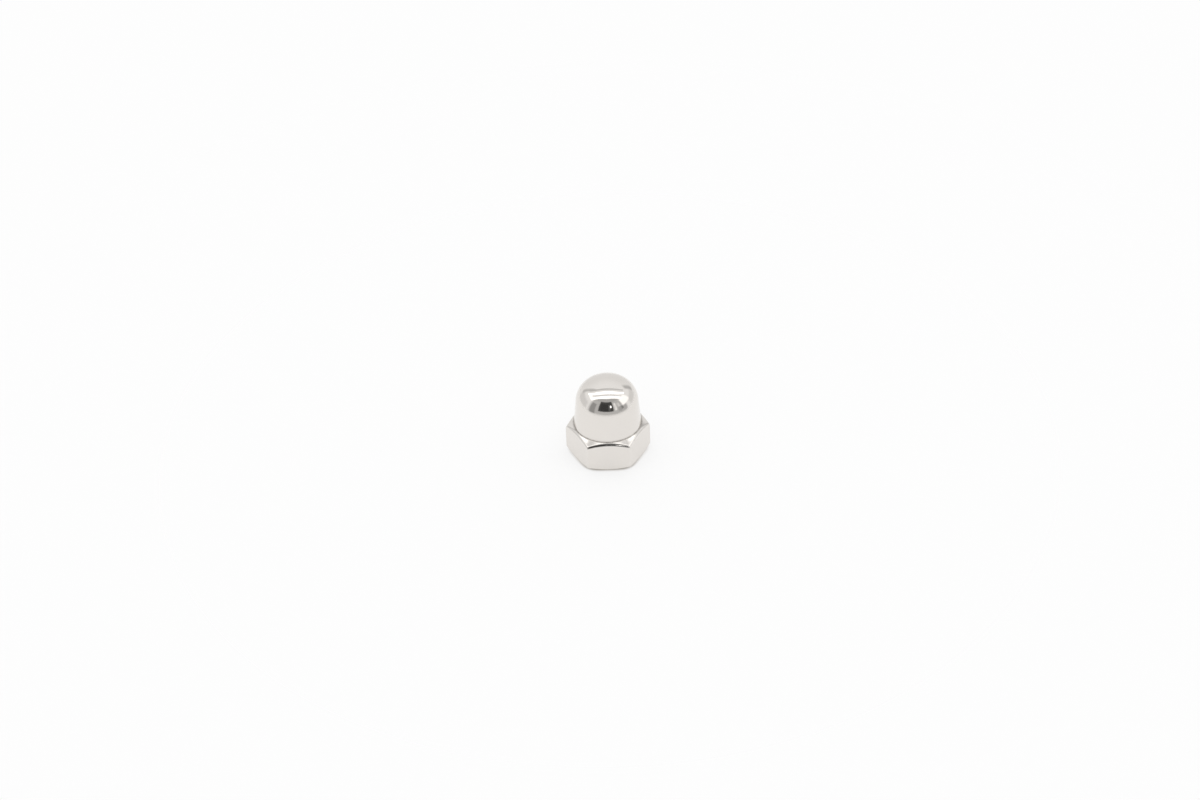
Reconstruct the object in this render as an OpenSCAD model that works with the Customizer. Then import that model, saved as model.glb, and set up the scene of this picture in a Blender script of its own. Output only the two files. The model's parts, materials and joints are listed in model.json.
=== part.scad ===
// Domed cap nut: a hexagon that a spanner turns, under a closed dome that
// covers the end of the bolt. It is one solid, standing on its bearing face.
//
// The origin is the centre of the bearing face. +Z runs up the thread axis to
// the top of the dome, and two of the six flats face -Y and +Y. Lengths are
// millimetres.

/* [Hexagon] */
// Width across the flats: the spanner size
across_flats = 13; // [12.8:0.1:16]
// Height of the hexagon, from the bearing face up to the dome's foot
hex_height = 5.85; // [5:0.05:8]
// Radius on the six upright corners
corner_radius = 0.35; // [0.1:0.05:0.8]
// How far inside the flats the flat bearing face ends
bearing_inset = 0.15; // [0.05:0.05:0.9]
// Slope of the chamfer from the bearing face to the lower corners, in degrees
lower_chamfer_angle = 30; // [15:1:40]
// Slope of the chamfer that falls away to the upper corners, in degrees
upper_chamfer_angle = 30; // [15:1:40]
// Width of the flat ring between the dome's foot and the upper chamfer
ring_width = 0.2; // [0.15:0.05:0.3]

/* [Dome] */
// Height of the whole nut, from the bearing face to the top of the dome
nut_height = 15; // [14:0.1:18]
// Diameter of the dome at its foot
foot_d = 11.95; // [11:0.05:12.1]
// Lean of the dome's wall towards the axis, in degrees
wall_taper = 5; // [0:0.5:8]
// Radius that rounds the wall into the crown
shoulder_radius = 4.25; // [2:0.05:4.8]
// Radius of the crown, over the top
crown_radius = 6.9; // [6.2:0.1:12]
// Radius of the fillet in the corner round the dome's foot
foot_fillet = 0.12; // [0.05:0.01:0.14]

/* [Thread] */
// Nominal diameter of the thread
thread_d = 8; // [6:0.5:9]
// Pitch of the thread
thread_pitch = 1.25; // [0.75:0.05:1.5]
// Depth of the bore, from the bearing face to the start of the drill point
bore_depth = 11; // [7:0.1:11.5]
// Included angle of the drill point that ends the bore, in degrees
drill_point_angle = 118; // [90:1:140]
// How much wider than the thread the countersink is at the bearing face
mouth_margin = 0.6; // [0.2:0.05:1]
// Included angle of the countersink, in degrees
mouth_angle = 120; // [90:1:130]

/* [Hidden] */

$fn = 96;
FACES = 6;
FACE_TURN = 360 / FACES;
CORNER_STEPS = 6;  // straight steps round each upright corner
OVERLAP = 0.5;     // how far a shape that is joined or cut away runs past the face
LAP = 0.001;       // how far an arc crosses what it blends into, so that the two join cleanly
steel = [0.86, 0.84, 0.81];

// Hexagon
corner_centre_reach = (across_flats / 2 - corner_radius) / cos(FACE_TURN / 2);
bearing_r = across_flats / 2 - bearing_inset;
blank_r = corner_centre_reach + corner_radius + OVERLAP;

// Dome, as points of its section in [radius, height]
foot = [foot_d / 2, hex_height];
wall_normal = [cos(wall_taper), sin(wall_taper)];
wall_up = [-sin(wall_taper), cos(wall_taper)];
ring_r = foot.x + ring_width;
crown_centre = [0, nut_height - crown_radius];

// The shoulder touches the wall, so its centre keeps its own radius from it,
// and it touches the crown from inside, which sets how far up the wall it is.
shoulder_inset = foot * wall_normal - shoulder_radius;
shoulder_reach = crown_radius - shoulder_radius;
shoulder_rise = crown_centre * wall_up
    + sqrt(pow(shoulder_reach, 2) - pow(shoulder_inset - crown_centre * wall_normal, 2));
shoulder_centre = shoulder_inset * wall_normal + shoulder_rise * wall_up;
wall_top = shoulder_centre + shoulder_radius * wall_normal;
crown_edge = crown_centre
    + crown_radius * (shoulder_centre - crown_centre) / norm(shoulder_centre - crown_centre);

// The fillet touches the ring from above and the wall from outside
fillet_centre = [
    foot.x + foot_fillet * (1 - sin(wall_taper)) / cos(wall_taper),
    hex_height + foot_fillet
];

// Bore, drilled to the tapping size
bore_r = (thread_d - thread_pitch) / 2;
mouth_r = (thread_d + mouth_margin) / 2;
mouth_depth = (mouth_r - bore_r) / tan(mouth_angle / 2);
drill_point_depth = bore_r / tan(drill_point_angle / 2);

// A direction in the plane, at an angle from +X
function heading(angle) = [cos(angle), sin(angle)];

// The hexagon in plan: a round on each corner, and a flat from each to the next
module hexagon_plan() {
    polygon([
        for (turn = [0 : FACE_TURN : 360 - FACE_TURN], step = [0 : CORNER_STEPS])
            corner_centre_reach * heading(turn)
                + corner_radius * heading(turn + (step / CORNER_STEPS - 0.5) * FACE_TURN)
    ]);
}

// The turned blank that cuts both chamfers across the corners
module chamfer_section() {
    polygon([
        [0, 0],
        [bearing_r, 0],
        [blank_r, (blank_r - bearing_r) * tan(lower_chamfer_angle)],
        [blank_r, hex_height - (blank_r - ring_r) * tan(upper_chamfer_angle)],
        [ring_r, hex_height],
        [0, hex_height]
    ]);
}

module hexagon() {
    intersection() {
        linear_extrude(hex_height) hexagon_plan();
        rotate_extrude() chamfer_section();
    }
}

// The dome's wall, shoulder and crown, sunk a little into the hexagon
module dome_section() {
    sunk = hex_height - OVERLAP;
    intersection() {
        union() {
            polygon([
                [0, sunk],
                [foot.x, sunk],
                foot,
                wall_top,
                crown_edge,
                [0, crown_edge.y]
            ]);
            translate(shoulder_centre) circle(shoulder_radius + LAP);
            intersection() {
                translate(crown_centre) circle(crown_radius);
                translate([0, crown_edge.y]) square([crown_radius, crown_radius]);
            }
        }
        translate([0, sunk]) square([blank_r, nut_height]);
    }
}

// The corner between the ring and the wall, filled up to the fillet
module fillet_section() {
    difference() {
        polygon([
            [foot.x - foot_fillet, hex_height - foot_fillet],
            [fillet_centre.x, hex_height - foot_fillet],
            fillet_centre,
            fillet_centre - foot_fillet * wall_normal
        ]);
        translate(fillet_centre) circle(foot_fillet + LAP);
    }
}

module dome() {
    rotate_extrude() {
        dome_section();
        fillet_section();
    }
}

// The blind hole: countersink, bore and drill point
module bore() {
    rotate_extrude()
        polygon([
            [0, -OVERLAP],
            [mouth_r, -OVERLAP],
            [mouth_r, 0],
            [bore_r, mouth_depth],
            [bore_r, bore_depth],
            [0, bore_depth + drill_point_depth]
        ]);
}

module cap_nut() {
    color(steel)
        difference() {
            union() {
                hexagon();
                dome();
            }
            bore();
        }
}

cap_nut();
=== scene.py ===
"""A polished domed cap nut on a pale floor, inside a white light tent.

The nut is one mesh. A geometry tree walks once through the nut's section, from the bottom of
the blind hole, down the tapped bore, out over the bearing face and up over the hexagon and the
dome, and spreads that walk round the axis. Lengths are metres, in the CAD model's own frame.
"""

import json
import math

import bpy
from mathutils import Matrix, Vector


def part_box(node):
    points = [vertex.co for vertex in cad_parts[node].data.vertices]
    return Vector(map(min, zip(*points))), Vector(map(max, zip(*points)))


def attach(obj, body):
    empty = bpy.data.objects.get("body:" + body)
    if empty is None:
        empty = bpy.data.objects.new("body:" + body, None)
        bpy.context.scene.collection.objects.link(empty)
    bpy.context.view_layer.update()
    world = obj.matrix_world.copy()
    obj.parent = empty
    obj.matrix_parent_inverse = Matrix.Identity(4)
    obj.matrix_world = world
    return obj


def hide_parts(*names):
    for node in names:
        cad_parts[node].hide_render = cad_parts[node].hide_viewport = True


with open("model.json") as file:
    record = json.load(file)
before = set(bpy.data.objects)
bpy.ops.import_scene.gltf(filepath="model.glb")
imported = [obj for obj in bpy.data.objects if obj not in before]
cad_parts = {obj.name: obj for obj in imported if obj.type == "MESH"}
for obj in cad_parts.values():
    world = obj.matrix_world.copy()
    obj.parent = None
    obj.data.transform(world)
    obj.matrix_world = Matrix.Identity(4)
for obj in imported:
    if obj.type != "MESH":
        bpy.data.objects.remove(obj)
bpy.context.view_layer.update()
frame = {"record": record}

MM = 0.001

# ---------------------------------------------------------------- sizes

NODE = "cap_nut"
FACES = 6
FACE_TURN = math.radians(360 / FACES)

low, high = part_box(NODE)
mounts = {mount["name"]: mount for mount in frame["record"]["mounts"]}

across_flats = high.y - low.y
corner_reach = (high.x - low.x) / 2
nut_height = high.z
bore_radius = mounts["thread"]["dims"]["r_mm"] * MM
# The corners' radius is what takes a sharp hexagon's reach down to the model's
sharp_reach = across_flats / 2 / math.cos(FACE_TURN / 2)
corner_radius = (sharp_reach - corner_reach) / (1 / math.cos(FACE_TURN / 2) - 1)

# What the geometry tree is told, in its own inputs' names. Angles are degrees.
NUT_SIZES = {
    "Across Flats": across_flats,
    "Corner Radius": corner_radius,
    "Nut Height": nut_height,
    "Hexagon Height": 5.85 * MM,
    "Bearing Inset": 0.15 * MM,
    "Chamfer Angle": 30.0,
    "Ring Radius": 6.06 * MM,
    "Foot Radius": 5.975 * MM,
    "Wall Taper": 5.0,
    "Shoulder Radius": 4.25 * MM,
    "Crown Radius": 6.9 * MM,
    "Bore Radius": bore_radius,
    "Bore Depth": 11.0 * MM,
    "Drill Point Angle": 118.0,
    "Thread Radius": 4.0 * MM,
    "Thread Pitch": 1.25 * MM,
    "Thread Depth": 10.2 * MM,
    "Run Out": 2.2 * MM,
    "Mouth Radius": 4.3 * MM,
    "Mouth Angle": 120.0,
    "Upper Edge Round": 0.85 * MM,
    "Lower Edge Round": 0.24 * MM,
    "Fine Round": 0.06 * MM,
    "Foot Fillet": 0.08 * MM,
    # How far from the dome's foot the painted shade reaches
    "Corner Shade Reach": 0.3 * MM,
}

# A metric thread's form: the root's flat as a share of the pitch, and each flank's lean
ROOT_FLAT = 1 / 8
FLANK_LEAN = math.radians(30)

# Grid columns along one flat and round one corner
FLAT_COLUMNS = 30
CORNER_COLUMNS = 8
COLUMNS = FACES * (FLAT_COLUMNS + CORNER_COLUMNS)

# Grid rows for one turn of the thread: root, flank, crest, flank
ROOT_ROWS, FLANK_ROWS, CREST_ROWS = 1, 3, 2
TURN_ROWS = ROOT_ROWS + FLANK_ROWS + CREST_ROWS + FLANK_ROWS
THREAD_TURNS = math.ceil(NUT_SIZES["Thread Depth"] / NUT_SIZES["Thread Pitch"]) + 1

# Grid rows for each leg of the walk, in its order
ROWS = {
    "drill point": 8,
    "bore end": 3,
    "thread": TURN_ROWS * THREAD_TURNS,
    "countersink": 3,
    "mouth edge": 3,
    "bearing face": 8,
    "bearing edge": 3,
    "lower chamfer": 6,
    "lower edge": 6,
    "side": 14,
    "upper edge": 10,
    "upper chamfer": 8,
    "ring edge": 3,
    "ring": 3,
    "foot fillet": 6,
    "wall": 16,
    "shoulder": 24,
    "crown": 16,
}

# Grid points this near each other become one, and edges that turn more than this stay crisp
MERGE_REACH = 0.0002 * MM
CRISP_TURN = math.radians(25)


# ---------------------------------------------------------------- formulas as nodes

class Field:
    """A value in a node tree that goes into formulas as a number does."""

    def __init__(self, tree, socket):
        self.tree = tree
        self.socket = socket

    def maths(self, operation, *others, clamp=False):
        node = self.tree.nodes.new("ShaderNodeMath")
        node.operation = operation
        node.use_clamp = clamp
        for socket, value in zip(node.inputs, (self, *others)):
            if isinstance(value, Field):
                self.tree.links.new(value.socket, socket)
            else:
                socket.default_value = value
        return Field(self.tree, node.outputs["Value"])

    def __add__(self, other):
        return self.maths("ADD", other)

    def __sub__(self, other):
        return self.maths("SUBTRACT", other)

    def __rsub__(self, other):
        return self.maths("MULTIPLY_ADD", -1.0, other)

    def __mul__(self, other):
        return self.maths("MULTIPLY", other)

    def __truediv__(self, other):
        return self.maths("DIVIDE", other)


def sin(angle):
    return angle.maths("SINE")


def cos(angle):
    return angle.maths("COSINE")


def tan(angle):
    return angle.maths("TANGENT")


def root(value):
    return value.maths("SQRT")


def clamped(value):
    """Held between 0 and 1"""
    return value.maths("ADD", 0.0, clamp=True)


def between(value, low, high):
    """From 0 at low to 1 at high, and held there"""
    return clamped((value - low) / (high - low))


def eased(along):
    """From 0 to 1 with small steps at both ends"""
    return (1 - cos(along * math.pi)) * 0.5


def hump(along):
    """0 at both ends of a stretch and 1 at its middle"""
    return along * (1 - along) * 4


def parts_of(tree, vector):
    """A vector's X, Y and Z as fields"""
    node = tree.nodes.new("ShaderNodeSeparateXYZ")
    tree.links.new(vector, node.inputs["Vector"])
    return [Field(tree, node.outputs[axis]) for axis in "XYZ"]


def vector_of(tree, *parts):
    """A vector made of fields for its X, its Y and, where it has one, its Z"""
    node = tree.nodes.new("ShaderNodeCombineXYZ")
    for axis, part in zip("XYZ", parts):
        tree.links.new(part.socket, node.inputs[axis])
    return node.outputs["Vector"]


def vector_maths(tree, operation, *vectors):
    """The outputs of one vector operation"""
    node = tree.nodes.new("ShaderNodeVectorMath")
    node.operation = operation
    for vector, socket in zip(vectors, node.inputs):
        tree.links.new(vector, socket)
    return node.outputs


def layered(tree, first, layers):
    """The first colour, with each layer's colour laid over it where its mask is 1"""
    below = None
    for mask, colour in layers:
        mix = tree.nodes.new("ShaderNodeMix")
        mix.data_type = "RGBA"
        tree.links.new(mask.socket, mix.inputs["Factor"])
        mix.inputs["A"].default_value = (*first, 1)
        if below:
            tree.links.new(below, mix.inputs["A"])
        mix.inputs["B"].default_value = (*colour, 1)
        below = mix.outputs["Result"]
    return below


def mixed_shader(tree, factor, first, second):
    """The first shader where the factor is 0, and the second where it is 1"""
    mix = tree.nodes.new("ShaderNodeMixShader")
    for value, socket in zip((factor, first, second), mix.inputs):
        tree.links.new(value, socket)
    return mix.outputs["Shader"]


class Walk:
    """A line through the nut's section, walked leg by leg in radius and height.

    Each leg takes the next few rows of the grid, so the line is one formula of the row. The
    heading is an angle from straight out. Where a leg rounds an edge, edge rises to 1, and
    in a corner or groove that gets painted shade, corner_shade does.
    """

    def __init__(self, row, radius, height, heading):
        self.row = row
        self.rows_gone = 0
        self.radius = radius
        self.height = height
        self.heading = heading
        self.edge = row * 0
        self.corner_shade = row * 0

    def along(self, leg):
        """From 0 where the leg starts to 1 where it ends, and held there"""
        start = self.rows_gone
        self.rows_gone += ROWS[leg]
        return between(self.row, start, self.rows_gone)

    def go(self, length, leg):
        """Straight on"""
        gone = length * eased(self.along(leg))
        self.radius = self.radius + gone * cos(self.heading)
        self.height = self.height + gone * sin(self.heading)

    def bend(self, radius, angle, leg, side):
        """Round an arc, to the left where side is 1 and to the right where it is -1"""
        along = self.along(leg)
        turned = self.heading + angle * along * side
        self.radius = self.radius + radius * side * (sin(turned) - sin(self.heading))
        self.height = self.height - radius * side * (cos(turned) - cos(self.heading))
        self.heading = self.heading + angle * side
        return along

    def left(self, radius, angle, leg):
        return self.bend(radius, angle, leg, 1)

    def right(self, radius, angle, leg):
        return self.bend(radius, angle, leg, -1)

    def edge_left(self, radius, angle, leg):
        """An arc that rounds an edge"""
        self.edge = self.edge + hump(self.left(radius, angle, leg))


# ---------------------------------------------------------------- the nut

def outline(column, size):
    """The rounded hexagon at a grid column: its reach, and its angle from the first column.

    In one face's own frame the flat stands at half the width, and the round on the corner
    after it starts where the flat ends.
    """
    per_face = FLAT_COLUMNS + CORNER_COLUMNS
    face = (column / per_face).maths("FLOOR")
    step = column - face * per_face
    along_flat = clamped(step / FLAT_COLUMNS)
    round_corner = clamped((step - FLAT_COLUMNS) / CORNER_COLUMNS)

    half_width = size["Across Flats"] / 2
    corner = size["Corner Radius"]
    flat_half = (half_width - corner) * math.tan(FACE_TURN / 2)
    turned = round_corner * FACE_TURN
    out = half_width - corner * (1 - cos(turned))
    across = corner * sin(turned) - flat_half * cos(along_flat * math.pi)

    reach = root(out * out + across * across)
    first = (0 - flat_half).maths("ARCTAN2", half_width)
    angle = face * FACE_TURN + across.maths("ARCTAN2", out) - first
    return reach, angle, first, hump(round_corner)


def tapped_bore(walk, angle, size):
    """The thread, from the end of its run-out down to where the countersink is as wide as it.

    The rows follow the helix, so its ridges lie along the grid. The first and the last turn
    are held flat at the two ends.
    """
    pitch = size["Thread Pitch"]
    depth = size["Thread Radius"] - size["Bore Radius"]
    mouth_slope = tan(size["Mouth Angle"] / 2)
    top = size["Thread Depth"]
    bottom = (size["Mouth Radius"] - size["Thread Radius"]) / mouth_slope

    row = (walk.row - walk.rows_gone).maths("MAXIMUM", 0).maths("MINIMUM", ROWS["thread"])
    walk.rows_gone += ROWS["thread"]
    turns = (row / TURN_ROWS).maths("FLOOR")
    step = row - turns * TURN_ROWS

    # Widths of the root's flat, of one flank and of the crest's flat, along the axis
    root_width = pitch * ROOT_FLAT
    flank_width = depth * math.tan(FLANK_LEAN)
    crest_width = pitch - root_width - flank_width * 2
    on_root = clamped(step / ROOT_ROWS)
    up_flank = clamped((step - ROOT_ROWS) / FLANK_ROWS)
    on_crest = clamped((step - ROOT_ROWS - FLANK_ROWS) / CREST_ROWS)
    down_flank = clamped((step - ROOT_ROWS - FLANK_ROWS - CREST_ROWS) / FLANK_ROWS)
    sunk = (
        pitch * turns
        + root_width * on_root
        + flank_width * (up_flank + down_flank)
        + crest_width * on_crest
    )
    helix = pitch * angle / math.tau
    height = (top + helix - sunk).maths("MINIMUM", top).maths("MAXIMUM", bottom)

    groove = 1 - up_flank + down_flank
    cut = clamped((top - height) / size["Run Out"])
    thread = size["Bore Radius"] + depth * groove * cut
    countersink = size["Mouth Radius"] - height * mouth_slope
    # The walk has come to the bore's wall at the thread's top, so each row adds how far it
    # lies from there
    walk.radius = walk.radius + thread.maths("MAXIMUM", countersink) - size["Bore Radius"]
    walk.height = walk.height + height - top
    # The thread's grooves get painted shade, deepest at the root
    walk.corner_shade = groove * cut * clamped((height - bottom) / pitch)
    return bottom


def walk_to_the_dome(row, reach, angle, size):
    """The walk from the bottom of the hole to the ring on top of the hexagon, and where along
    it the hexagon's side is. A round takes its radius times the tangent of half its turn off
    the straight legs that meet there."""
    chamfer = size["Chamfer Angle"]
    half_chamfer = tan(chamfer / 2)
    to_upright = math.pi / 2 - chamfer
    half_upright = tan(to_upright / 2)
    fine, upper, lower = size["Fine Round"], size["Upper Edge Round"], size["Lower Edge Round"]

    # The hole: the drill point, the bore above the thread, the thread and the countersink
    drill_slope = math.pi / 2 - size["Drill Point Angle"] / 2
    tip = size["Bore Depth"] + size["Bore Radius"] * tan(drill_slope)
    walk = Walk(row, row * 0, tip, 0 - drill_slope)
    walk.go(size["Bore Radius"] / cos(drill_slope), "drill point")
    walk.heading = row * 0 - math.pi / 2
    walk.go(size["Bore Depth"] - size["Thread Depth"], "bore end")
    thread_end = tapped_bore(walk, angle, size)
    mouth_slope = math.pi / 2 - size["Mouth Angle"] / 2
    half_mouth = tan(mouth_slope / 2)
    walk.heading = 0 - mouth_slope
    walk.go(thread_end / sin(mouth_slope) - fine * half_mouth, "countersink")

    # The bearing face and the hexagon. Upright lengths depend on how far the outline reaches.
    walk.edge_left(fine, mouth_slope, "mouth edge")
    bearing = size["Across Flats"] / 2 - size["Bearing Inset"]
    walk.go(
        bearing - size["Mouth Radius"] - fine * (half_mouth + half_chamfer), "bearing face"
    )
    walk.edge_left(fine, chamfer, "bearing edge")
    below = reach - bearing
    above = reach - size["Ring Radius"]
    walk.go(below / cos(chamfer) - fine * half_chamfer - lower * half_upright, "lower chamfer")
    walk.edge_left(lower, to_upright, "lower edge")
    side_start = walk.rows_gone
    walk.go(
        size["Hexagon Height"] - (below + above) * tan(chamfer) - (lower + upper) * half_upright,
        "side",
    )
    on_side = hump(between(row, side_start, walk.rows_gone))
    walk.edge_left(upper, to_upright, "upper edge")
    walk.go(above / cos(chamfer) - upper * half_upright - fine * half_chamfer, "upper chamfer")
    walk.edge_left(fine, chamfer, "ring edge")
    return walk, on_side


def walk_the_dome(walk, size):
    """The ring and the dome: the wall leans by the taper, the shoulder touches the wall, and
    the crown touches the shoulder and ends on the axis."""
    taper = size["Wall Taper"]
    foot, foot_height = size["Foot Radius"], size["Hexagon Height"]
    fillet = size["Foot Fillet"]
    ring_round = size["Fine Round"] * tan(size["Chamfer Angle"] / 2)
    fillet_round = fillet * tan((math.pi / 2 - taper) / 2)
    walk.go(size["Ring Radius"] - foot - ring_round - fillet_round, "ring")
    walk.right(fillet, math.pi / 2 - taper, "foot fillet")

    crown_centre = size["Nut Height"] - size["Crown Radius"]
    shoulder_reach = size["Crown Radius"] - size["Shoulder Radius"]
    inset = foot * cos(taper) + foot_height * sin(taper) - size["Shoulder Radius"]
    off_centre = inset - crown_centre * sin(taper)
    rise = crown_centre * cos(taper) + root(
        shoulder_reach * shoulder_reach - off_centre * off_centre
    )
    foot_rise = foot_height * cos(taper) - foot * sin(taper)
    walk.go(rise - foot_rise - fillet_round, "wall")
    shoulder_radius = inset * cos(taper) - rise * sin(taper)
    crown_turn = (shoulder_radius / shoulder_reach).maths("ARCSINE")
    walk.left(size["Shoulder Radius"], math.pi / 2 - taper - crown_turn, "shoulder")
    walk.left(size["Crown Radius"], crown_turn, "crown")

    # Painted shade lies in the corner at the dome's foot
    from_corner = root(
        (walk.radius - foot) * (walk.radius - foot)
        + (walk.height - foot_height) * (walk.height - foot_height)
    )
    walk.corner_shade = walk.corner_shade + clamped(1 - from_corner / size["Corner Shade Reach"])


def stored(tree, mesh, name, value):
    """Keeps a value from 0 to 1 at the mesh's points, under a name that materials read"""
    store = tree.nodes.new("GeometryNodeStoreNamedAttribute")
    store.data_type = "FLOAT"
    store.domain = "POINT"
    store.inputs["Name"].default_value = name
    tree.links.new(mesh, store.inputs["Geometry"])
    tree.links.new(clamped(value).socket, store.inputs["Value"])
    return store.outputs["Geometry"]


def smoothed(tree, mesh):
    """Smooth faces, and crisp edges where the surface turns sharply"""
    edges = tree.nodes.new("GeometryNodeInputMeshEdgeAngle")
    sharp = Field(tree, edges.outputs["Unsigned Angle"]).maths("GREATER_THAN", CRISP_TURN)
    smooth = tree.nodes.new("GeometryNodeSetShadeSmooth")
    tree.links.new(mesh, smooth.inputs["Geometry"])
    crisp = tree.nodes.new("GeometryNodeSetShadeSmooth")
    crisp.domain = "EDGE"
    crisp.inputs["Shade Smooth"].default_value = False
    tree.links.new(smooth.outputs["Geometry"], crisp.inputs["Geometry"])
    tree.links.new(sharp.socket, crisp.inputs["Selection"])
    return crisp.outputs["Geometry"]


def made_of(tree, mesh, material, where=None):
    """Gives a material to the whole mesh, or to the faces where a mask is true"""
    node = tree.nodes.new("GeometryNodeSetMaterial")
    node.inputs["Material"].default_value = material
    tree.links.new(mesh, node.inputs["Geometry"])
    if where:
        tree.links.new(where, node.inputs["Selection"])
    return node.outputs["Geometry"]


def nut_tree(polished, tooled):
    """The geometry tree: a flat grid whose columns go round the nut and whose rows follow
    the walk, closed up where its edges meet."""
    tree = bpy.data.node_groups.new("Domed cap nut", "GeometryNodeTree")
    nodes, links = tree.nodes, tree.links
    for name in NUT_SIZES:
        tree.interface.new_socket(name=name, in_out="INPUT", socket_type="NodeSocketFloat")
    tree.interface.new_socket(
        name="Geometry", in_out="OUTPUT", socket_type="NodeSocketGeometry"
    )
    given = nodes.new("NodeGroupInput")
    size = {name: Field(tree, given.outputs[name]) for name in NUT_SIZES}
    for name in size:
        if name.endswith(("Angle", "Taper")):
            size[name] = size[name].maths("RADIANS")

    rows = sum(ROWS.values())
    grid = nodes.new("GeometryNodeMeshGrid")
    grid.inputs["Size X"].default_value = COLUMNS
    grid.inputs["Size Y"].default_value = rows
    grid.inputs["Vertices X"].default_value = COLUMNS + 1
    grid.inputs["Vertices Y"].default_value = rows + 1
    x, y, _ = parts_of(tree, nodes.new("GeometryNodeInputPosition").outputs["Position"])
    column = (x + COLUMNS / 2).maths("ROUND")
    row = (y + rows / 2).maths("ROUND")

    reach, angle, first, on_corner = outline(column, size)
    walk, on_side = walk_to_the_dome(row, reach, angle, size)
    walk_the_dome(walk, size)
    # The first flat faces -Y
    heading = angle + first - math.pi / 2
    point = vector_of(
        tree, walk.radius * cos(heading), walk.radius * sin(heading), walk.height
    )

    # The hole and the bearing face are as the tools leave them
    tooled_rows = list(ROWS).index("bearing edge")
    in_hole = row.maths("LESS_THAN", sum(list(ROWS.values())[:tooled_rows]))
    kept = nodes.new("GeometryNodeCaptureAttribute")
    kept.domain = "FACE"
    kept.capture_items.new("BOOLEAN", "Tooled")
    links.new(grid.outputs["Mesh"], kept.inputs["Geometry"])
    links.new(in_hole.socket, kept.inputs["Tooled"])

    # What the materials read: how near an edge is, and how deep in a corner or groove the
    # surface lies, which sets the painted shade
    marked = kept.outputs["Geometry"]
    marked = stored(tree, marked, "edge", walk.edge + on_corner * on_side)
    marked = stored(tree, marked, "corner_shade", walk.corner_shade)

    # The grid takes its shape last, because all the fields above read the flat grid
    placed = nodes.new("GeometryNodeSetPosition")
    links.new(marked, placed.inputs["Geometry"])
    links.new(point, placed.inputs["Position"])
    closed = nodes.new("GeometryNodeMergeByDistance")
    closed.inputs["Distance"].default_value = MERGE_REACH
    links.new(placed.outputs["Geometry"], closed.inputs["Geometry"])

    real = nodes.new("GeometryNodeRealizeInstances")
    links.new(smoothed(tree, closed.outputs["Geometry"]), real.inputs["Geometry"])
    nut = made_of(tree, real.outputs["Geometry"], polished)
    nut = made_of(tree, nut, tooled, kept.outputs["Tooled"])
    links.new(nut, nodes.new("NodeGroupOutput").inputs["Geometry"])
    return tree


def plain_mesh(tree, values, name):
    """The tree's result as an ordinary mesh object"""
    seed = bpy.data.objects.new(name + "_seed", bpy.data.meshes.new(name + "_seed"))
    bpy.context.scene.collection.objects.link(seed)
    modifier = seed.modifiers.new("Shape", "NODES")
    modifier.node_group = tree
    for item in tree.interface.items_tree:
        if item.in_out == "INPUT":
            modifier[item.identifier] = values[item.name]
    result = seed.evaluated_get(bpy.context.evaluated_depsgraph_get())
    mesh = bpy.data.meshes.new_from_object(result)
    mesh.name = name
    # The seed's empty slot comes first, and no face uses it
    mesh.materials.pop(index=0)
    bpy.data.objects.remove(seed)
    piece = bpy.data.objects.new(name, mesh)
    bpy.context.scene.collection.objects.link(piece)
    return piece


# ---------------------------------------------------------------- materials

# The inputs of shader groups that are vectors. The others are plain numbers.
VECTOR_INPUTS = ("Place", "Middle", "Inner", "Outer")


def shader_group(name, inputs, outputs):
    """An empty shader group, what it is given and what it puts out"""
    tree = bpy.data.node_groups.new(name, "ShaderNodeTree")
    for socket in inputs:
        kind = "NodeSocketVector" if socket in VECTOR_INPUTS else "NodeSocketFloat"
        tree.interface.new_socket(name=socket, in_out="INPUT", socket_type=kind)
    for socket in outputs:
        tree.interface.new_socket(name=socket, in_out="OUTPUT", socket_type="NodeSocketFloat")
    given = tree.nodes.new("NodeGroupInput")
    result = tree.nodes.new("NodeGroupOutput")
    return tree, given.outputs, result.inputs


def noise(tree, vector, scale, detail=2.0, roughness=0.5):
    """Noise from 0 to 1. The scale is a number or a field."""
    node = tree.nodes.new("ShaderNodeTexNoise")
    tree.links.new(vector, node.inputs["Vector"])
    if isinstance(scale, Field):
        tree.links.new(scale.socket, node.inputs["Scale"])
    else:
        node.inputs["Scale"].default_value = scale
    node.inputs["Detail"].default_value = detail
    node.inputs["Roughness"].default_value = roughness
    return Field(tree, node.outputs["Fac"])


def stretched(tree, vector, turn, scale):
    """The vector, turned and scaled"""
    node = tree.nodes.new("ShaderNodeMapping")
    tree.links.new(vector, node.inputs["Vector"])
    node.inputs["Rotation"].default_value = turn
    node.inputs["Scale"].default_value = scale
    return node.outputs["Vector"]


def hairlines_group():
    """Hairlines from wiping and handling, in a few directions. A line lies where long-drawn
    noise passes its middle value, and a broader noise breaks the lines off."""
    tree, given, result = shader_group("Hairlines", ("Place", "Scale"), ("Depth",))
    directions = ((0.3, 0.2, 0.5), (1.1, 0.7, 1.9), (0.4, 2.2, 2.8))
    long_drawn = (1, 0.06, 0.5)
    line_width = 0.012
    patch_scale = 0.23
    patch_edge = (0.5, 0.62)

    scale = Field(tree, given["Scale"])
    depth = scale * 0
    for direction in directions:
        place = stretched(tree, given["Place"], direction, long_drawn)
        from_middle = (noise(tree, place, scale, 1.0) - 0.5).maths("ABSOLUTE")
        line = 1 - between(from_middle, 0, line_width)
        patch = between(noise(tree, place, scale * patch_scale, 1.0), *patch_edge)
        depth = depth.maths("MAXIMUM", line * patch)
    tree.links.new(depth.socket, result["Depth"])
    return tree


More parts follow.
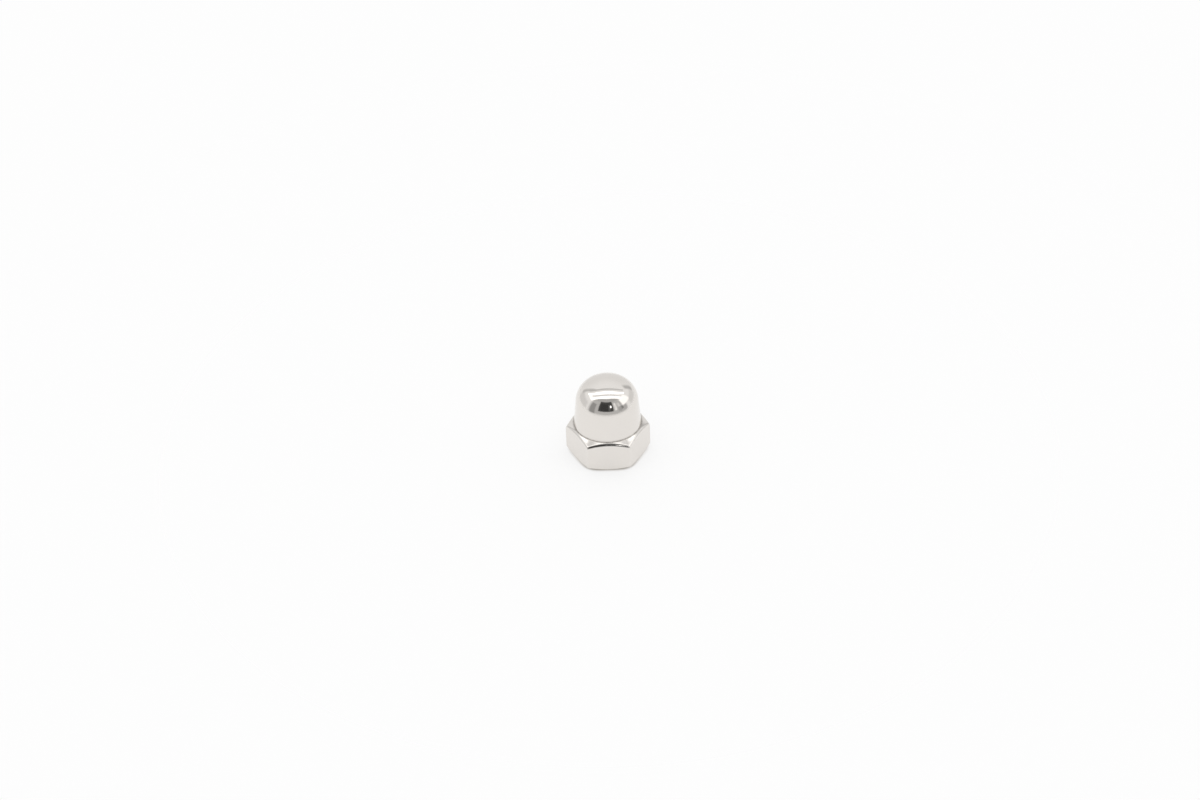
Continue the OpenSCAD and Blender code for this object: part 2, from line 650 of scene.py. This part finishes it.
def turning_group():
    """Rings left by a lathe tool or a polishing wheel, round the nut's axis"""
    tree, given, result = shader_group("Turning marks", ("Place", "Rings"), ("Height",))
    drift = 0.4
    x, y, z = parts_of(tree, given["Place"])
    radius = root(x * x + y * y)
    around = y.maths("ARCTAN2", x)
    rings = Field(tree, given["Rings"])
    # Round the axis the rings change slowly, and meet where the turn closes
    place = vector_of(tree, radius * rings, z * rings, sin(around) * drift)
    height = noise(tree, place, 1.0, 3.0, 0.6)
    tree.links.new(height.socket, result["Height"])
    return tree


def haze_group():
    """Broad smears and fine mottling that dull a polish unevenly"""
    tree, given, result = shader_group("Haze", ("Place", "Scale"), ("Haze",))
    wiping_turn = (0.4, 0.9, 0.2)
    wiping_stretch = (1, 0.4, 1)
    mottle_fineness = 9

    scale = Field(tree, given["Scale"])
    wiped = stretched(tree, given["Place"], wiping_turn, wiping_stretch)
    smear = between(noise(tree, wiped, scale, 3), 0.35, 0.7)
    mottle = between(noise(tree, given["Place"], scale * mottle_fineness, 2), 0.4, 0.8)
    haze = smear * 0.75 + mottle * 0.25
    tree.links.new(haze.socket, result["Haze"])
    return tree


def wear_and_shade_group():
    """Edges rubbed here and there, and painted shade in corners and grooves, both in uneven
    patches
    """
    tree, given, result = shader_group("Edge wear and corner shade", ("Place", "Scale"), ("Wear", "Painted Shade"))
    masks = {}
    for name in ("edge", "corner_shade"):
        node = tree.nodes.new("ShaderNodeAttribute")
        node.attribute_name = name
        masks[name] = Field(tree, node.outputs["Fac"])
    scale = Field(tree, given["Scale"])
    patches = noise(tree, given["Place"], scale, 4, 0.6)
    wear = masks["edge"] * between(patches, 0.42, 0.62)
    # Even the lightest part of a corner keeps half its painted shade
    painted_shade = masks["corner_shade"] * (between(patches, 0.25, 0.6) * 0.5 + 0.5)
    tree.links.new(wear.socket, result["Wear"])
    tree.links.new(painted_shade.socket, result["Painted Shade"])
    return tree


class Metal:
    """A bare metal's material, to which effects are added one by one"""

    def __init__(self, name):
        self.material = bpy.data.materials.new(name)
        self.material.use_nodes = True
        self.tree = self.material.node_tree
        self.shader = self.tree.nodes["Principled BSDF"]
        self.shader.inputs["Metallic"].default_value = 1
        self.place = self.tree.nodes.new("ShaderNodeTexCoord").outputs["Object"]

    def effect(self, group, **values):
        """Places a group, with its values in repeats per metre, and gives what it puts out"""
        node = self.tree.nodes.new("ShaderNodeGroup")
        node.node_tree = group
        self.tree.links.new(self.place, node.inputs["Place"])
        for name, value in values.items():
            node.inputs[name].default_value = value
        return {socket.name: Field(self.tree, socket) for socket in node.outputs}

    def colours(self, first, *layers):
        """The first colour, with the others over it"""
        colour = layered(self.tree, first, layers)
        self.tree.links.new(colour, self.shader.inputs["Base Color"])

    def roughness(self, value):
        self.tree.links.new(clamped(value).socket, self.shader.inputs["Roughness"])

    def bump(self, height, distance):
        """Relief as deep as the distance where the height goes from 0 to 1"""
        node = self.tree.nodes.new("ShaderNodeBump")
        node.inputs["Strength"].default_value = 1
        node.inputs["Distance"].default_value = distance
        self.tree.links.new(height.socket, node.inputs["Height"])
        self.tree.links.new(node.outputs["Normal"], self.shader.inputs["Normal"])


def polished_steel(effects):
    """Buffed to a mirror, slightly warm, with hairlines, smears and rubbed edges"""
    warm_mirror = (0.79, 0.755, 0.715)
    smeared = (0.73, 0.7, 0.67)
    rubbed = (0.85, 0.83, 0.8)
    # The colour of the painted shade in the corner at the dome's foot
    shade_colour = (0.14, 0.12, 0.1)
    relief = 0.0004 * MM

    metal = Metal("Polished steel")
    hairlines = metal.effect(effects["hairlines"], Scale=900)["Depth"]
    rings = metal.effect(effects["turning"], Rings=9000)["Height"]
    haze = metal.effect(effects["haze"], Scale=220)["Haze"]
    # Rubbed edges, and painted shade in the corners
    wear_and_shade = metal.effect(effects["wear"], Scale=1500)
    wear, painted_shade = wear_and_shade["Wear"], wear_and_shade["Painted Shade"]
    metal.colours(
        warm_mirror, (haze * 0.3, smeared), (wear * 0.5, rubbed), (painted_shade * 0.75, shade_colour)
    )
    metal.roughness(haze * 0.07 + hairlines * 0.12 + wear * 0.12 + painted_shade * 0.35 + 0.045)
    metal.bump(rings * 0.5 - hairlines, relief)
    return metal.material


def tooled_steel(effects):
    """As the drill, tap and facing tool leave it: fine rings, duller, a film of oil"""
    cut = (0.7, 0.67, 0.635)
    ring_shade = (0.6, 0.575, 0.55)
    oil_film = (0.58, 0.55, 0.52)
    # The colour of the painted shade in the thread's grooves
    shade_colour = (0.2, 0.175, 0.15)
    rubbed = (0.82, 0.8, 0.77)
    relief = 0.003 * MM

    metal = Metal("Tooled steel")
    hairlines = metal.effect(effects["hairlines"], Scale=1400)["Depth"]
    rings = metal.effect(effects["turning"], Rings=14000)["Height"]
    haze = metal.effect(effects["haze"], Scale=350)["Haze"]
    # Rubbed edges, and painted shade in the thread's grooves
    wear_and_shade = metal.effect(effects["wear"], Scale=2200)
    wear, painted_shade = wear_and_shade["Wear"], wear_and_shade["Painted Shade"]
    metal.colours(
        cut,
        (between(rings, 0.35, 0.7) * 0.5, ring_shade),
        (haze * 0.4, oil_film),
        (painted_shade * 0.5, shade_colour),
        (wear * 0.6, rubbed),
    )
    metal.roughness(rings * 0.15 + haze * 0.1 + hairlines * 0.1 + 0.14)
    metal.bump(rings - hairlines * 0.5, relief)
    return metal.material


effects = {
    "hairlines": hairlines_group(),
    "turning": turning_group(),
    "haze": haze_group(),
    "wear": wear_and_shade_group(),
}
nut = plain_mesh(
    nut_tree(polished_steel(effects), tooled_steel(effects)), NUT_SIZES, "domed_cap_nut"
)
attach(nut, "root")
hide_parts(NODE)

# ---------------------------------------------------------------- stage

# The floor lies this far under the nut, in rings. The first is under the bearing face.
FLOOR_GAP = 0.01 * MM
FLOOR_RINGS = (6.2 * MM, 8 * MM, 12 * MM, 50 * MM, 0.15, 0.4)
FLOOR_SPOKES = 96
# The floor is whole out to the first distance, and gone at the second
FLOOR_FADE = (0.03, 0.13)
# How much of the floor's white the nut can shade, and how much it can't
FLOOR_SHADED = 0.33
FLOOR_FILLED = 0.655
# The gap under the nut's edge: how far out it darkens the floor, how dark it is, and how much
# darker in front, where it faces the tent's dark opening
GAP_REACH = 0.45 * MM
GAP_SAMPLES = 4
GAP_DARKNESS = 0.35
GAP_DARKER_IN_FRONT = 0.45
GAP_TINT = (1, 0.9, 0.76)
# In front means that a unit step outwards goes this far along -Y: not yet, and fully
IN_FRONT = (0.4, 0.9)


def floor_mesh():
    """A wide disc with a hole that the nut's bearing face covers, so that light from below
    reaches the nut's underside and no light passes up."""
    points = []
    faces = []
    for radius in FLOOR_RINGS:
        for spoke in range(FLOOR_SPOKES):
            turn = math.tau * spoke / FLOOR_SPOKES
            points.append((radius * math.cos(turn), radius * math.sin(turn), -FLOOR_GAP))
    for inner in range(0, len(points) - FLOOR_SPOKES, FLOOR_SPOKES):
        outer = inner + FLOOR_SPOKES
        for spoke in range(FLOOR_SPOKES):
            after = (spoke + 1) % FLOOR_SPOKES
            faces.append((inner + spoke, outer + spoke, outer + after, inner + after))
    mesh = bpy.data.meshes.new("floor")
    mesh.from_pydata(points, [], faces)
    return mesh


def floor_material():
    """White. The light that the nut throws back fills its shadow, save in the tight gap
    under its edge. The floor fades out far from the nut, and from below it is clear."""
    material = bpy.data.materials.new("Pale floor")
    material.use_nodes = True
    tree = material.node_tree
    nodes, links = tree.nodes, tree.links
    nodes.clear()
    place = nodes.new("ShaderNodeTexCoord").outputs["Object"]

    gap = nodes.new("ShaderNodeAmbientOcclusion")
    gap.samples = GAP_SAMPLES
    gap.inputs["Distance"].default_value = GAP_REACH
    _, to_back, _ = parts_of(tree, vector_maths(tree, "NORMALIZE", place)["Vector"])
    in_front = between(0 - to_back, *IN_FRONT)
    darkness = in_front * GAP_DARKER_IN_FRONT + GAP_DARKNESS
    dark = (1 - Field(tree, gap.outputs["AO"])) * darkness

    matt = nodes.new("ShaderNodeBsdfDiffuse")
    matt.inputs["Color"].default_value = (FLOOR_SHADED, FLOOR_SHADED, FLOOR_SHADED, 1)
    glow = nodes.new("ShaderNodeEmission")
    links.new(layered(tree, (1, 1, 1), [(dark, GAP_TINT)]), glow.inputs["Color"])
    links.new(((1 - dark) * FLOOR_FILLED).socket, glow.inputs["Strength"])
    white = nodes.new("ShaderNodeAddShader")
    links.new(matt.outputs["BSDF"], white.inputs[0])
    links.new(glow.outputs["Emission"], white.inputs[1])

    distance = Field(tree, vector_maths(tree, "LENGTH", place)["Value"])
    from_below = Field(tree, nodes.new("ShaderNodeNewGeometry").outputs["Backfacing"])
    unseen = between(distance, *FLOOR_FADE).maths("MAXIMUM", from_below)
    clear = nodes.new("ShaderNodeBsdfTransparent").outputs["BSDF"]
    surface = mixed_shader(tree, unseen.socket, white.outputs["Shader"], clear)
    links.new(surface, nodes.new("ShaderNodeOutputMaterial").inputs["Surface"])
    return material


floor = bpy.data.objects.new("floor", floor_mesh())
floor.data.materials.append(floor_material())
bpy.context.scene.collection.objects.link(floor)

# ---------------------------------------------------------------- light

# The tent's walls. All that hangs on them has a place in the sky: degrees round from -Y, the
# front, to the right, and degrees up.
WALLS = (0.96, 0.965, 0.97)

# Each panel is its middle's place, half its width and height, the width of its soft edge, and
# its brightness. Later ones hang in front of earlier ones.
PANELS = {
    "back wall, left": (-180, 8, 46, 30, 40, 0.86),
    "back wall, right": (180, 8, 42, 30, 40, 0.86),
    "left wall": (-104, 8, 24, 14, 12, 0.77),
    "right wall": (110, 8, 18, 12, 12, 0.78),
    "left back edge": (-128, 34, 5, 24, 8, 0.6),
    "right back edge": (135, 19, 6, 16, 10, 0.54),
    "floor in front": (0, -9, 56, 9, 12, 0.7),
    "front opening": (2, 22, 72, 38, 14, 0.56),
    "left curtain": (-55, 13, 10, 23, 6, 0.34),
    "left fold": (-37, 20, 3, 20, 4, 0.56),
    "left lamp": (-90, 43, 17, 6, 6, 1.4),
    "grey above the camera": (4, 61, 66, 9, 8, 0.47),
    "camera": (-5, 31, 28, 23, 4, 0.07),
    "camera's body": (-11, 28, 15, 17, 6, 0.05),
    "flash": (12, 31, 4, 5, 3, 3.0),
    "flash stand": (9, 26, 3, 12, 4, 0.14),
    "right fold": (32, 27, 4, 17, 5, 0.98),
    "right pane": (47, 30, 4, 9, 5, 0.76),
    "right curtain": (48, 10, 7, 10, 8, 0.44),
    "right skirt": (67, 7, 8, 10, 8, 0.5),
    "right slit": (57, 12, 4, 7, 4, 0.26),
    "right lamp": (80, 32, 19, 15, 9, 1.35),
}

# The lamps in the tent's roof and the gaps around them, in the plane one unit overhead:
# middle to the right, middle to the front, half width, half depth, soft edge, brightness
# and how far a lamp bows to the back one unit to its side.
ROOF_LAMPS = {
    "shade behind": (-0.04, -0.31, 0.97, 0.05, 0.07, 0.6, 0.35),
    "back lamp": (-0.1, -0.085, 1.2, 0.075, 0.06, 2.0, 0.24),
    "front lamp": (-0.1, 0.21, 1.2, 0.11, 0.06, 1.7, 0),
    "gap between": (-0.04, 0.05, 0.62, 0.035, 0.05, 0.78, 0.2),
}

# What lights the floor: an even level, and a glow that gathers overhead
EVEN_LIGHT = 0.7
ROOF_LIGHT = 1.2
ROOF_FOCUS = 6
# What the camera sees behind the floor
BACKDROP = (0.985, 0.985, 0.985)
# The roof is drawn down to this height, as the sine of its elevation
ROOF_RIM = 0.01


def panel_group():
    """A soft-edged oblong: 1 inside and 0 outside"""
    tree, given, result = shader_group(
        "Soft oblong", ("Place", "Middle", "Inner", "Outer"), ("Mask",)
    )
    offset = vector_maths(tree, "SUBTRACT", given["Place"], given["Middle"])["Vector"]
    fade = tree.nodes.new("ShaderNodeMapRange")
    fade.data_type = "FLOAT_VECTOR"
    fade.interpolation_type = "SMOOTHSTEP"
    # The vector's own limits share their names with the number's, so they go by identifier
    limits = {socket.identifier: socket for socket in fade.inputs}
    tree.links.new(vector_maths(tree, "ABSOLUTE", offset)["Vector"], limits["Vector"])
    tree.links.new(given["Outer"], limits["From_Min_FLOAT3"])
    tree.links.new(given["Inner"], limits["From_Max_FLOAT3"])
    across, up, _ = parts_of(tree, fade.outputs["Vector"])
    tree.links.new((across * up).socket, result["Mask"])
    return tree


def light_tent():
    """The world. Shiny surfaces show the tent itself, the camera sees a plain backdrop, and
    the floor is lit by the tent's light smoothed out."""
    world = bpy.data.worlds.new("Light tent")
    world.use_nodes = True
    tree = world.node_tree
    nodes, links = tree.nodes, tree.links
    nodes.clear()
    group = panel_group()

    # In the world, Generated is the direction that is looked in
    x, y, z = parts_of(tree, nodes.new("ShaderNodeTexCoord").outputs["Generated"])
    azimuth = x.maths("ARCTAN2", 0 - y).maths("DEGREES")
    elevation = z.maths("ARCSINE").maths("DEGREES")
    overhead = z.maths("MAXIMUM", ROOF_RIM)
    across = x / overhead
    to_back = y / overhead

    round_about = vector_of(tree, azimuth, elevation)
    panels = [(round_about, panel) for panel in PANELS.values()]
    for *lamp, bow in ROOF_LAMPS.values():
        panels.append((vector_of(tree, across, across * across * bow - to_back), lamp))

    layers = []
    for place, (middle, height, half_width, half_height, soft, brightness) in panels:
        mask = nodes.new("ShaderNodeGroup")
        mask.node_tree = group
        links.new(place, mask.inputs["Place"])
        mask.inputs["Middle"].default_value = (middle, height, 0)
        mask.inputs["Inner"].default_value = (half_width - soft / 2, half_height - soft / 2, 0)
        mask.inputs["Outer"].default_value = (half_width + soft / 2, half_height + soft / 2, 1)
        grey = (brightness, brightness, brightness)
        layers.append((Field(tree, mask.outputs["Mask"]), grey))

    glow = z.maths("MAXIMUM", 0).maths("POWER", ROOF_FOCUS) * ROOF_LIGHT + EVEN_LIGHT
    smooth = nodes.new("ShaderNodeBackground")
    smooth.inputs["Color"].default_value = (1, 1, 1, 1)
    links.new(glow.socket, smooth.inputs["Strength"])
    seen = nodes.new("ShaderNodeBackground")
    seen.inputs["Color"].default_value = (*BACKDROP, 1)
    tent = nodes.new("ShaderNodeBackground")
    links.new(layered(tree, WALLS, layers), tent.inputs["Color"])

    rays = nodes.new("ShaderNodeLightPath").outputs
    surface = smooth.outputs["Background"]
    for ray, background in (("Is Camera Ray", seen), ("Is Glossy Ray", tent)):
        surface = mixed_shader(tree, rays[ray], surface, background.outputs["Background"])
    links.new(surface, nodes.new("ShaderNodeOutputWorld").inputs["Surface"])
    return world


bpy.context.scene.world = light_tent()

# ---------------------------------------------------------------- camera

FRAME_WIDTH = 1200
FRAME_HEIGHT = 800
# Where the middle of the nut's bearing face lies in the frame, in pixels from its top left
BASE_PIXEL = Vector((608.44, 446.87))
# Pixels that the width across the flats takes up at the bearing face's distance
FLATS_PIXELS = 73.0
LENS_PIXELS = 3000.0
SENSOR_WIDTH = 36.0
CLIP_START = 0.01
CLIP_END = 20.0
CAMERA_ELEVATION = math.radians(39.2)
CAMERA_AZIMUTH = math.radians(-0.1)
CAMERA_ROLL = math.radians(-1.79)


def place_camera():
    """A camera that looks at the bearing face's middle from the given side and height, is
    rolled about that line, and then swings until the middle lies on its pixel."""
    data = bpy.data.cameras.new("camera")
    data.sensor_width = SENSOR_WIDTH
    data.lens = SENSOR_WIDTH * LENS_PIXELS / FRAME_WIDTH
    data.clip_start = CLIP_START
    data.clip_end = CLIP_END
    camera = bpy.data.objects.new("camera", data)
    bpy.context.scene.collection.objects.link(camera)

    distance = across_flats * LENS_PIXELS / FLATS_PIXELS
    level = Vector((math.sin(CAMERA_AZIMUTH), -math.cos(CAMERA_AZIMUTH), 0))
    away = level * math.cos(CAMERA_ELEVATION) + Vector((0, 0, math.sin(CAMERA_ELEVATION)))
    right = Vector((0, 0, 1)).cross(away).normalized()
    up = away.cross(right)
    looking = Matrix((right, up, away)).transposed()
    looking = looking @ Matrix.Rotation(CAMERA_ROLL, 3, "Z")
    off_centre = Vector(
        (BASE_PIXEL.x - FRAME_WIDTH / 2, FRAME_HEIGHT / 2 - BASE_PIXEL.y, -LENS_PIXELS)
    )
    swing = Vector((0, 0, -1)).rotation_difference(off_centre)
    looking = looking @ swing.to_matrix().inverted()
    camera.matrix_world = Matrix.Translation(away * distance) @ looking.to_4x4()
    bpy.context.scene.camera = camera


place_camera()
bpy.context.scene.view_settings.view_transform = "Standard"
